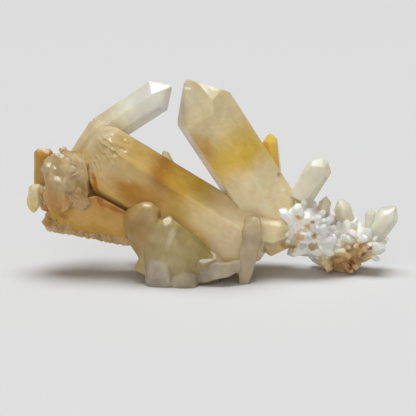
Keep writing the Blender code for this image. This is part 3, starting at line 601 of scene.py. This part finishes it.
def grow_together(name, values, collection):
    """One body out of pieces that run into each other: a mesh of even squares over them all, whose corners
    move on to the rounded surface by Newton's steps. Each step is the distance left over the slope, along the
    slope."""
    width, square, fold, fold_length, pieces = values
    whole = bmesh.new()
    for piece in pieces:
        body = skin_of(BLOCKS[piece])
        part = bpy.data.meshes.new(piece)
        body.to_mesh(part)
        body.free()
        whole.from_mesh(part)
    mesh = bpy.data.meshes.new(name)
    whole.to_mesh(mesh)
    whole.free()
    solid = bpy.data.objects.new(name, mesh)
    collection.objects.link(solid)
    squares = solid.modifiers.new("squares", "REMESH")
    squares.mode, squares.voxel_size = "VOXEL", square * MM
    finished = solid.evaluated_get(bpy.context.evaluated_depsgraph_get())
    mesh = bpy.data.meshes.new_from_object(finished)
    solid.modifiers.clear()
    solid.data = mesh
    places = places_of(mesh)
    faces = [skin_faces(BLOCKS[piece]) for piece in pieces]
    for step in range(SETTLING_STEPS):
        outside, way, shares = run_together_field(places, faces, pieces.values(), width)
        outside = outside + RIPPLE_DEPTH * ripple(places, RIPPLE_LENGTH, RIPPLE_SEED)
        outside = outside + fold * folds(places, fold_length, FOLD_SEED)
        move = outside[:, None] * way / np.maximum((way * way).sum(1, keepdims=True), LEAST_SLOPE)
        places = places - np.clip(move, -square, square)
    mesh.vertices.foreach_set("co", (places * MM).ravel())
    mesh.update()
    body = bmesh.new()
    body.from_mesh(mesh)
    cut_at_floor(body)
    bmesh.ops.triangulate(body, faces=body.faces)
    bmesh.ops.recalc_face_normals(body, faces=body.faces)
    body.to_mesh(mesh)
    body.free()
    shares = run_together_field(places_of(mesh), faces, pieces.values(), width)[2]
    corners = np.empty(len(mesh.loops), int)
    mesh.loops.foreach_get("vertex_index", corners)
    store_tints(mesh, (shares @ np.array([tint_row(piece) for piece in pieces]))[corners])
    return solid


def solid_from_corners(name, corners, collection, worn_edge=0.0, tint=None):
    """A closed solid with flat faces over a cloud of corners in table millimetres, with worn edges."""
    mesh = bpy.data.meshes.new(name)
    body = skin_of(corners)
    if worn_edge:
        bmesh.ops.bevel(
            body, geom=body.edges[:] + body.verts[:], offset=worn_edge * MM, segments=2, profile=0.5,
            affect="EDGES", clamp_overlap=True)
    bmesh.ops.triangulate(body, faces=body.faces)
    body.to_mesh(mesh)
    body.free()
    store_tints(mesh, np.tile(tint_row(name, tint), (len(mesh.loops), 1)))
    solid = bpy.data.objects.new(name, mesh)
    collection.objects.link(solid)
    return solid


def grow_crystal(name, values, collection, breaks=(), tint=None):
    """One crystal of the table, with its broken faces."""
    tip, foot, sides, caps, turn, taper, worn_edge = values
    normals, distances = crystal_faces(tip, foot, sides, caps, taper)
    matrix = crystal_matrix(tip, foot, turn)
    turned = np.array(matrix.to_3x3())
    for point, outward in (*breaks, FLOOR_FACE):
        facing = np.array(Vector(outward).normalized())
        normals = np.vstack([normals, facing @ turned])
        distances = np.append(distances, facing @ (np.array(point) - np.array(foot)))
    corners = corners_behind(normals, distances) @ turned.T + np.array(foot)
    return solid_from_corners(name, corners, collection, worn_edge, tint)


def grow_small_crystal(name, tip, foot, half_width, chance, collection, tint):
    """A small crystal with slightly uneven sides, its own roll and a colour a little off its neighbours'."""
    colour, clearness = tint
    shade = chance.uniform(*SMALL_LIGHTER)
    own_tint = ([value + shade for value in colour], clearness + chance.uniform(*SMALL_CLEARER))
    sides = [half_width * chance.uniform(*SMALL_SIDES) for side in range(SIDES)]
    roll, taper = chance.uniform(*SMALL_ROLL), chance.uniform(*SMALL_TAPER)
    values = (tip, foot, sides, SMALL_CAPS * half_width, roll, taper, 0)
    return grow_crystal(name, values, collection, tint=own_tint)


def even_directions(count, lowest):
    """Directions spread evenly over a ball by the golden angle, from straight up to as far down as lowest."""
    number = np.arange(count)
    height = 1 - (1 + lowest) * (number + 0.5) / count
    ring = np.sqrt(1 - height * height)
    around = number * GOLDEN_ANGLE
    return np.stack([ring * np.cos(around), ring * np.sin(around), height], 1)


def source_collection():
    """The collection of the shapes that are joined, made once."""
    found = bpy.data.collections.get(SOURCES)
    if found is None:
        found = bpy.data.collections.new(SOURCES)
        bpy.context.scene.collection.children.link(found)
    return found


def wave_turns(places, wavelength, chance, count, shortest, longest):
    """How many turns each of some waves in scattered directions has made on the way to each place."""
    directions = chance.normal(size=(count, 3))
    directions /= np.linalg.norm(directions, axis=1, keepdims=True)
    lengths = wavelength * chance.uniform(shortest, longest, count)
    return places @ (directions / lengths[:, None]).T


def ripple(places, wavelength, seed):
    """A smooth wandering value between about -1 and 1: seven sine waves, added up."""
    chance = np.random.default_rng(seed)
    turns = wave_turns(places, wavelength, chance, 7, 0.6, 1.6)
    return np.sin(turns * math.tau + chance.uniform(0, math.tau, 7)).sum(1) / 3


def folds(places, wavelength, seed):
    """Flat folds between about -1 and 1 with sharp creases: five triangle waves, added up."""
    chance = np.random.default_rng(seed)
    turns = wave_turns(places, wavelength, chance, 5, 0.7, 1.5) + chance.uniform(0, 1, 5)
    return (4 * np.abs(turns - np.round(turns)) - 1).sum(1) / 2


def oval(places, middle, half_sizes):
    """1 in the middle of an oval and 0 outside it, falling smoothly towards its rim."""
    distance = np.linalg.norm((places - np.array(middle)) / np.array(half_sizes), axis=1)
    return np.clip(1.5 * (1 - distance), 0, 1) ** 0.7


def ledge_depth(places, regions):
    """How far the ledges sink into a surface: a saw-tooth along each region's climb, bent by ripples."""
    wide, wide_length, narrow, narrow_length = LEDGE_BENDS
    depth = np.zeros(len(places))
    for number, (middle, half_sizes, climb, spacing, deepest) in enumerate(regions):
        climb = np.array(climb) / np.linalg.norm(climb)
        bend = wide * ripple(places, wide_length * spacing, number)
        bend = bend + narrow * ripple(places, narrow_length * spacing, 50 + number)
        steps = (places @ climb) / spacing + bend
        tooth = steps - np.floor(steps)
        height = np.where(tooth < LEDGE_CLIMB, tooth / LEDGE_CLIMB, (1 - tooth) / LEDGE_FALL)
        strength = 0.6 + 0.4 * ripple(places, 3.0 * spacing, 90 + number)
        depth += oval(places, middle, half_sizes) * deepest * height * strength
    return depth


def near_ovals(places, reach, regions):
    """Which places lie inside one of the regions' ovals, each grown by a reach."""
    inside = np.zeros(len(places), bool)
    for middle, half_sizes, climb, spacing, deepest in regions:
        grown = np.array(half_sizes) + reach[:, None]
        inside |= np.linalg.norm((places - np.array(middle)) / grown, axis=1) < 1.0
    return inside


def refine_and_step(mesh, regions):
    """Divide a mesh finely where its ledges are, and sink the ledges into it."""
    body = bmesh.new()
    body.from_mesh(mesh)
    bmesh.ops.triangulate(body, faces=body.faces)
    for halving in range(HALVINGS):
        edges = body.edges[:]
        ends = np.array([(*edge.verts[0].co, *edge.verts[1].co) for edge in edges]) / MM
        middles = (ends[:, :3] + ends[:, 3:]) / 2 - np.array(CENTRE)
        lengths = np.linalg.norm(ends[:, :3] - ends[:, 3:], axis=1)
        wanted = (lengths > FINE_EDGE) & near_ovals(middles, lengths / 2, regions)
        bmesh.ops.subdivide_edges(body, edges=[edges[number] for number in np.flatnonzero(wanted)], cuts=1)
        bmesh.ops.triangulate(body, faces=[face for face in body.faces if len(face.verts) > 3])
    body.normal_update()
    places = np.array([vertex.co for vertex in body.verts]) / MM
    normals = np.array([vertex.normal for vertex in body.verts])
    places -= normals * ledge_depth(places - np.array(CENTRE), regions)[:, None]
    places[:, 2] = np.maximum(places[:, 2], 0.0)
    body.to_mesh(mesh)
    body.free()
    mesh.vertices.foreach_set("co", (places * MM).ravel())
    mesh.update()


class QUARTZ_OT_points(bpy.types.Operator):
    """Grow the main crystals"""

    bl_idname = "quartz.points"
    bl_label = "Main crystals"

    def execute(self, context):
        sources = source_collection()
        for name, values in POINTS.items():
            grow_crystal(name, values, sources, BREAKS.get(name, ()))
        return {"FINISHED"}


class QUARTZ_OT_chunks(bpy.types.Operator):
    """Grow the blunt chunks of the root and of the matrix"""

    bl_idname = "quartz.chunks"
    bl_label = "Root and matrix"

    def execute(self, context):
        sources = source_collection()
        for seed, (name, (middle, half_sizes)) in enumerate(CHUNKS.items()):
            chance = np.random.default_rng(seed)
            normals = even_directions(CHUNK_FACES, 1.0)
            normals += chance.uniform(-CHUNK_LEAN, CHUNK_LEAN, (CHUNK_FACES, 3))
            normals /= np.linalg.norm(normals, axis=1, keepdims=True)
            normals = np.vstack([normals, (0, 0, -1)])
            distances = np.append(chance.uniform(*CHUNK_DEPTH, CHUNK_FACES), middle[2] / half_sizes[2])
            corners = corners_behind(normals, distances) * np.array(half_sizes) + np.array(middle)
            solid_from_corners(name, corners, sources, CHUNK_WORN_EDGE * min(half_sizes))
        return {"FINISHED"}


class QUARTZ_OT_blocks(bpy.types.Operator):
    """Grow the broken pieces with flat faces"""

    bl_idname = "quartz.blocks"
    bl_label = "Broken pieces"

    def execute(self, context):
        sources = source_collection()
        taken = {piece for values in RUN_TOGETHER.values() for piece in values[-1]}
        for name in [name for name in BLOCKS if name not in taken]:
            solid_from_corners(name, BLOCKS[name], sources, WORN.get(name, WORN_EDGE))
        for name, values in RUN_TOGETHER.items():
            grow_together(name, values, sources)
        return {"FINISHED"}


class QUARTZ_OT_druse(bpy.types.Operator):
    """Grow the small clear crystals on the matrix"""

    bl_idname = "quartz.druse"
    bl_label = "Druse"

    def execute(self, context):
        sources = source_collection()
        sizes = context.scene.quartz_sizes
        widest, tallest = sizes.druse_half_width / MM, sizes.druse_height / MM
        always, with_reach = DRUSE_SLENDER
        chance = random.Random(DRUSE_SEED)
        for chunk, share in DRUSE_SHARES.items():
            middle, half_sizes = (np.array(values) for values in CHUNKS[chunk])
            for number, out in enumerate(even_directions(round(sizes.druse_count * share), DRUSE_LOWEST)):
                surface = Vector(middle + DRUSE_BED * out * half_sizes)
                spread = Vector([chance.uniform(*limits) for limits in DRUSE_SPREAD])
                along = (Vector(out) + spread).normalized()
                reach = tallest * chance.uniform(*DRUSE_REACH) ** DRUSE_POWER
                half_width = widest * (always + with_reach * reach / tallest) * chance.uniform(*DRUSE_THINNER)
                tip, foot = surface + along * reach, surface - along * DRUSE_ROOT
                name = f"{chunk}_druse_{number}"
                grow_small_crystal(name, tip, foot, half_width, chance, sources, DRUSE_TINT)
        return {"FINISHED"}


class QUARTZ_OT_crust(bpy.types.Operator):
    """Grow the crust of tiny crystals along the lower edge of the mango end"""

    bl_idname = "quartz.crust"
    bl_label = "Crust"

    def execute(self, context):
        sources = source_collection()
        count = context.scene.quartz_sizes.crust_count
        chance = random.Random(CRUST_SEED)
        start, end = CRUST_ENDS
        for number in range(count):
            place = start.lerp(end, (number + chance.uniform(*CRUST_SHIFT)) / count)
            along = Vector([*(chance.uniform(*limits) for limits in CRUST_SPREAD), -1]).normalized()
            half_width = chance.uniform(*CRUST_HALF_WIDTH)
            tip, foot = place + along * half_width * CRUST_REACH, place - along * CRUST_ROOT
            grow_small_crystal(f"crust_{number}", tip, foot, half_width, chance, sources, CRUST_TINT)
        return {"FINISHED"}


def outer_skin(mesh):
    """Keep only the largest joined run of faces, without the small pockets that crystals shut in."""
    body = bmesh.new()
    body.from_mesh(mesh)
    waiting = set(body.faces)
    runs = []
    while waiting:
        run = []
        edge_of_run = [waiting.pop()]
        while edge_of_run:
            face = edge_of_run.pop()
            run.append(face)
            for near in (other for edge in face.edges for other in edge.link_faces):
                if near in waiting:
                    waiting.remove(near)
                    edge_of_run.append(near)
        runs.append(run)
    runs.sort(key=len)
    for run in runs[:-1]:
        bmesh.ops.delete(body, geom=run, context="FACES")
    body.to_mesh(mesh)
    body.free()


class QUARTZ_OT_join(bpy.types.Operator):
    """Join everything that has grown into one body, cut flat where it rests, and give it its finish"""

    bl_idname = "quartz.join"
    bl_label = "Join the cluster"

    def execute(self, context):
        sources = source_collection()
        first = sources.objects["great_point"]
        sources.objects.unlink(first)
        context.scene.collection.objects.link(first)
        join = first.modifiers.new("grown_together", "BOOLEAN")
        join.operation, join.operand_type, join.solver = "UNION", "COLLECTION", "EXACT"
        join.collection = sources
        finished = first.evaluated_get(context.evaluated_depsgraph_get())
        mesh = bpy.data.meshes.new_from_object(finished)
        outer_skin(mesh)
        refine_and_step(mesh, LEDGES)
        mesh.shade_smooth()
        mesh.set_sharp_from_angle(angle=SHARP_ANGLE)
        mesh.name = "quartz_cluster"
        piece = bpy.data.objects.new("quartz_cluster", mesh)
        context.scene.collection.objects.link(piece)
        for used in [*sources.objects, first]:
            bpy.data.objects.remove(used, do_unlink=True)
        bpy.data.collections.remove(sources)
        mesh.materials.clear()
        mesh.materials.append(quartz_material(context.scene.quartz_colours))
        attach(piece, "root")
        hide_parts(NODE)
        return {"FINISHED"}


def fill(node, values):
    """Set a node's sockets by their names."""
    for name, value in values.items():
        node.inputs[name].default_value = value


class Graph:
    """A short way to add nodes to a material and to join them."""

    def __init__(self, tree):
        self.tree = tree

    def put(self, socket, value):
        """Join an output to a socket, or set the socket's own value."""
        if isinstance(value, bpy.types.NodeSocket):
            self.tree.links.new(value, socket)
        else:
            socket.default_value = value

    def math(self, operation, first, second, clamp=False):
        """Work out a sum of two values."""
        node = self.tree.nodes.new("ShaderNodeMath")
        node.operation, node.use_clamp = operation, clamp
        self.put(node.inputs[0], first)
        self.put(node.inputs[1], second)
        return node.outputs[0]

    def vector(self, operation, first, second=(0.0, 0.0, 0.0), scale=1.0):
        """Work out a sum of vectors, or one's length."""
        node = self.tree.nodes.new("ShaderNodeVectorMath")
        node.operation = operation
        self.put(node.inputs[0], first)
        self.put(node.inputs[1], second)
        node.inputs[3].default_value = scale
        return node.outputs["Value" if operation == "LENGTH" else "Vector"]

    def mix(self, factor, first, second, blend="MIX"):
        """Mix two colours."""
        node = self.tree.nodes.new("ShaderNodeMix")
        node.data_type, node.blend_type = "RGBA", blend
        self.put(node.inputs[0], factor)
        self.put(node.inputs[6], first)
        self.put(node.inputs[7], second)
        return node.outputs[2]

    def ranged(self, value, low, high, to_low=0.0, to_high=1.0):
        """Map a range of values smoothly on to another, and stop at its ends."""
        node = self.tree.nodes.new("ShaderNodeMapRange")
        node.interpolation_type = "SMOOTHSTEP"
        for socket, number in zip(node.inputs, (value, low, high, to_low, to_high)):
            self.put(socket, number)
        return node.outputs[0]

    def noise(self, places, size, detail=3.0, roughness=0.55):
        """Noise with lumps of about a size in millimetres."""
        node = self.tree.nodes.new("ShaderNodeTexNoise")
        self.put(node.inputs["Vector"], places)
        fill(node, {"Scale": 1 / size, "Detail": detail, "Roughness": roughness})
        return node.outputs["Fac"], node.outputs["Color"]

    def grey(self, value):
        """A grey as bright as a value."""
        node = self.tree.nodes.new("ShaderNodeCombineColor")
        for socket in node.inputs:
            self.put(socket, value)
        return node.outputs[0]

    def placed(self, places, middle, half_sizes, lean):
        """Places as an oval sees them: from its middle, turned back by its lean, and in its half sizes."""
        node = self.tree.nodes.new("ShaderNodeMapping")
        node.vector_type = "TEXTURE"
        self.put(node.inputs["Vector"], places)
        fill(node, {"Location": middle, "Rotation": (0, math.radians(lean), 0), "Scale": half_sizes})
        return node.outputs["Vector"]


def paint_ovals(graph, places, ovals, colour, clearness, share):
    """Lay soft ovals of colour and of clearness over what is there."""
    for middle, half_sizes, lean, softness, strength, shade, clear in ovals:
        distance = graph.vector("LENGTH", graph.placed(places, middle, half_sizes, lean))
        cover = graph.ranged(distance, 1 + softness / 2, 1 - softness, 0.0, strength)
        if share is not None:
            cover = graph.math("MULTIPLY", cover, share)
        colour = graph.mix(cover, colour, (*linear(shade), 1))
        blend = graph.math("MULTIPLY", graph.math("SUBTRACT", clear, clearness), cover)
        clearness = graph.math("ADD", clearness, blend)
    return colour, clearness


def wandered(graph, places, reach, noise):
    """Places moved about by a noise, which makes the rims of ovals uneven."""
    away = graph.vector("SUBTRACT", graph.noise(places, *noise)[1], (0.5, 0.5, 0.5))
    return graph.vector("ADD", places, graph.vector("SCALE", away, scale=reach))


def quartz_material(colours):
    """Milky quartz that turns clear at its tips, with mango bands, iron stains, milky clouds, pale flecks and
    faint streaks along its growth, and painted shade, painted highlights and a painted glow in some bands and
    marks."""
    material = bpy.data.materials.new("mango_quartz")
    material.use_nodes = True
    graph = Graph(material.node_tree)
    nodes = material.node_tree.nodes
    shader = nodes["Principled BSDF"]
    own = nodes.new("ShaderNodeTexCoord").outputs["Object"]
    in_mm = graph.vector("SCALE", own, scale=1 / MM)
    straight = graph.vector("SUBTRACT", in_mm, tuple(CENTRE))
    places = wandered(graph, straight, *BAND_WANDER)
    mark_places = wandered(graph, straight, *MARK_WANDER)
    tint = nodes.new("ShaderNodeAttribute")
    tint.attribute_name = "tint"
    banded = nodes.new("ShaderNodeAttribute")
    banded.attribute_name = "banded"
    colour, clearness = tint.outputs["Color"], tint.outputs["Alpha"]
    colour, clearness = paint_ovals(graph, places, BANDS_AND_PAINTED_SHADE, colour, clearness, banded.outputs["Fac"])
    colour, clearness = paint_ovals(graph, mark_places, MARKS_AND_PAINTED_LIGHT, colour, clearness, None)
    cloud = graph.ranged(graph.noise(straight, *CLOUD_NOISE)[0], *CLOUD_RANGE)
    milk = graph.math("MULTIPLY", clearness, CLOUD_COVER)
    colour = graph.mix(graph.math("MULTIPLY", cloud, milk), colour, (*colours.cloud, 1))
    mottle = graph.ranged(graph.noise(straight, *MOTTLE_NOISE)[0], *MOTTLE_RANGE)
    leaning = graph.placed(straight, (0, 0, 0), FLECK_SIZES, GROWTH_LEAN)
    fleck = graph.ranged(graph.noise(leaning, *FLECK_NOISE)[0], *FLECK_RANGE)
    colour = graph.mix(fleck, colour, (*colours.fleck, 1))
    colour = graph.mix(1.0, colour, graph.grey(mottle), "MULTIPLY")
    along = graph.placed(straight, (0, 0, 0), STREAK_SIZES, GROWTH_LEAN)
    streaks = graph.ranged(graph.noise(along, *STREAK_NOISE)[0], *STREAK_RANGE)
    shade = graph.mix(banded.outputs["Fac"], (1, 1, 1, 1), graph.grey(streaks))
    colour = graph.mix(1.0, colour, shade, "MULTIPLY")
    lift = graph.mix(1.0, colour, (LIFT, LIFT, LIFT, 1), "MULTIPLY")
    lift.node.clamp_result = True
    graph.put(shader.inputs["Base Color"], lift)
    between = graph.math("MULTIPLY", graph.math("SUBTRACT", 0.5, cloud), CLOUD_CLEARNESS)
    clearness = graph.math("ADD", clearness, between, clamp=True)
    graph.put(shader.inputs["Transmission Weight"], clearness)
    graph.put(shader.inputs["Roughness"], graph.ranged(clearness, *ROUGHNESS_RANGE))
    fill(shader, QUARTZ)
    bump = nodes.new("ShaderNodeBump")
    fill(bump, BUMP)
    coarse = graph.math("MULTIPLY", graph.noise(straight, *BUMP_COARSE)[0], BUMP_COARSE_SHARE)
    graph.put(bump.inputs["Height"], graph.math("ADD", graph.noise(straight, *BUMP_FINE)[0], coarse))
    graph.put(shader.inputs["Normal"], bump.outputs["Normal"])
    return material


class QUARTZ_OT_stage(bpy.types.Operator):
    """Lay the pale floor, and set the lights and the camera"""

    bl_idname = "quartz.stage"
    bl_label = "Stage"

    def execute(self, context):
        scene = context.scene
        half = scene.quartz_sizes.floor_size / 2
        mesh = bpy.data.meshes.new("floor")
        corners = [(-half, -half, 0), (half, -half, 0), (half, half, 0), (-half, half, 0)]
        mesh.from_pydata(corners, [], [(0, 1, 2, 3)])
        floor = bpy.data.objects.new("floor", mesh)
        scene.collection.objects.link(floor)
        material = bpy.data.materials.new("floor")
        material.use_nodes = True
        looks = {"Base Color": (*scene.quartz_colours.floor, 1), "Roughness": FLOOR_ROUGHNESS}
        fill(material.node_tree.nodes["Principled BSDF"], looks)
        mesh.materials.append(material)
        world = bpy.data.worlds.new("soft_room")
        scene.world = world
        world.use_nodes = True
        fill(world.node_tree.nodes["Background"], ROOM)
        for name, (strength, angle, colour, shines_from) in LIGHTS.items():
            lamp = bpy.data.lights.new(name, "SUN")
            lamp.energy, lamp.angle, lamp.color = strength, math.radians(angle), colour
            light = bpy.data.objects.new(name, lamp)
            light.rotation_euler = Vector(shines_from).to_track_quat("Z", "Y").to_euler()
            scene.collection.objects.link(light)
        lens = bpy.data.cameras.new("camera")
        lens.lens, lens.clip_start = CAMERA_LENS, CAMERA_CLIP
        camera = bpy.data.objects.new("camera", lens)
        back = Vector((0, -math.cos(CAMERA_PITCH), math.sin(CAMERA_PITCH)))
        camera.location = cluster_place(CAMERA_AIM) + back * CAMERA_DISTANCE
        camera.rotation_euler = (math.pi / 2 - CAMERA_PITCH, 0, 0)
        scene.collection.objects.link(camera)
        scene.camera = camera
        scene.view_settings.view_transform = "Standard"
        return {"FINISHED"}


class QUARTZ_PT_panel(bpy.types.Panel):
    """The cluster's steps, in order"""

    bl_label = "Mango Quartz Cluster"
    bl_space_type = "VIEW_3D"
    bl_region_type = "UI"
    bl_category = "Quartz"

    def draw(self, context):
        for step in STEPS:
            self.layout.operator(step.bl_idname)


STEPS = (
    QUARTZ_OT_points, QUARTZ_OT_chunks, QUARTZ_OT_blocks, QUARTZ_OT_druse, QUARTZ_OT_crust, QUARTZ_OT_join,
    QUARTZ_OT_stage)
CLASSES = (QuartzSizes, QuartzColours, *STEPS, QUARTZ_PT_panel)


def register():
    """Register the classes and their settings."""
    for each in CLASSES:
        bpy.utils.register_class(each)
    bpy.types.Scene.quartz_sizes = PointerProperty(type=QuartzSizes)
    bpy.types.Scene.quartz_colours = PointerProperty(type=QuartzColours)


def unregister():
    """Remove the settings and the classes."""
    del bpy.types.Scene.quartz_colours
    del bpy.types.Scene.quartz_sizes
    for each in reversed(CLASSES):
        bpy.utils.unregister_class(each)


def main():
    """Take the steps in order."""
    register()
    bpy.ops.quartz.points()
    bpy.ops.quartz.chunks()
    bpy.ops.quartz.blocks()
    bpy.ops.quartz.druse()
    bpy.ops.quartz.crust()
    bpy.ops.quartz.join()
    bpy.ops.quartz.stage()


if __name__ == "__main__":
    main()
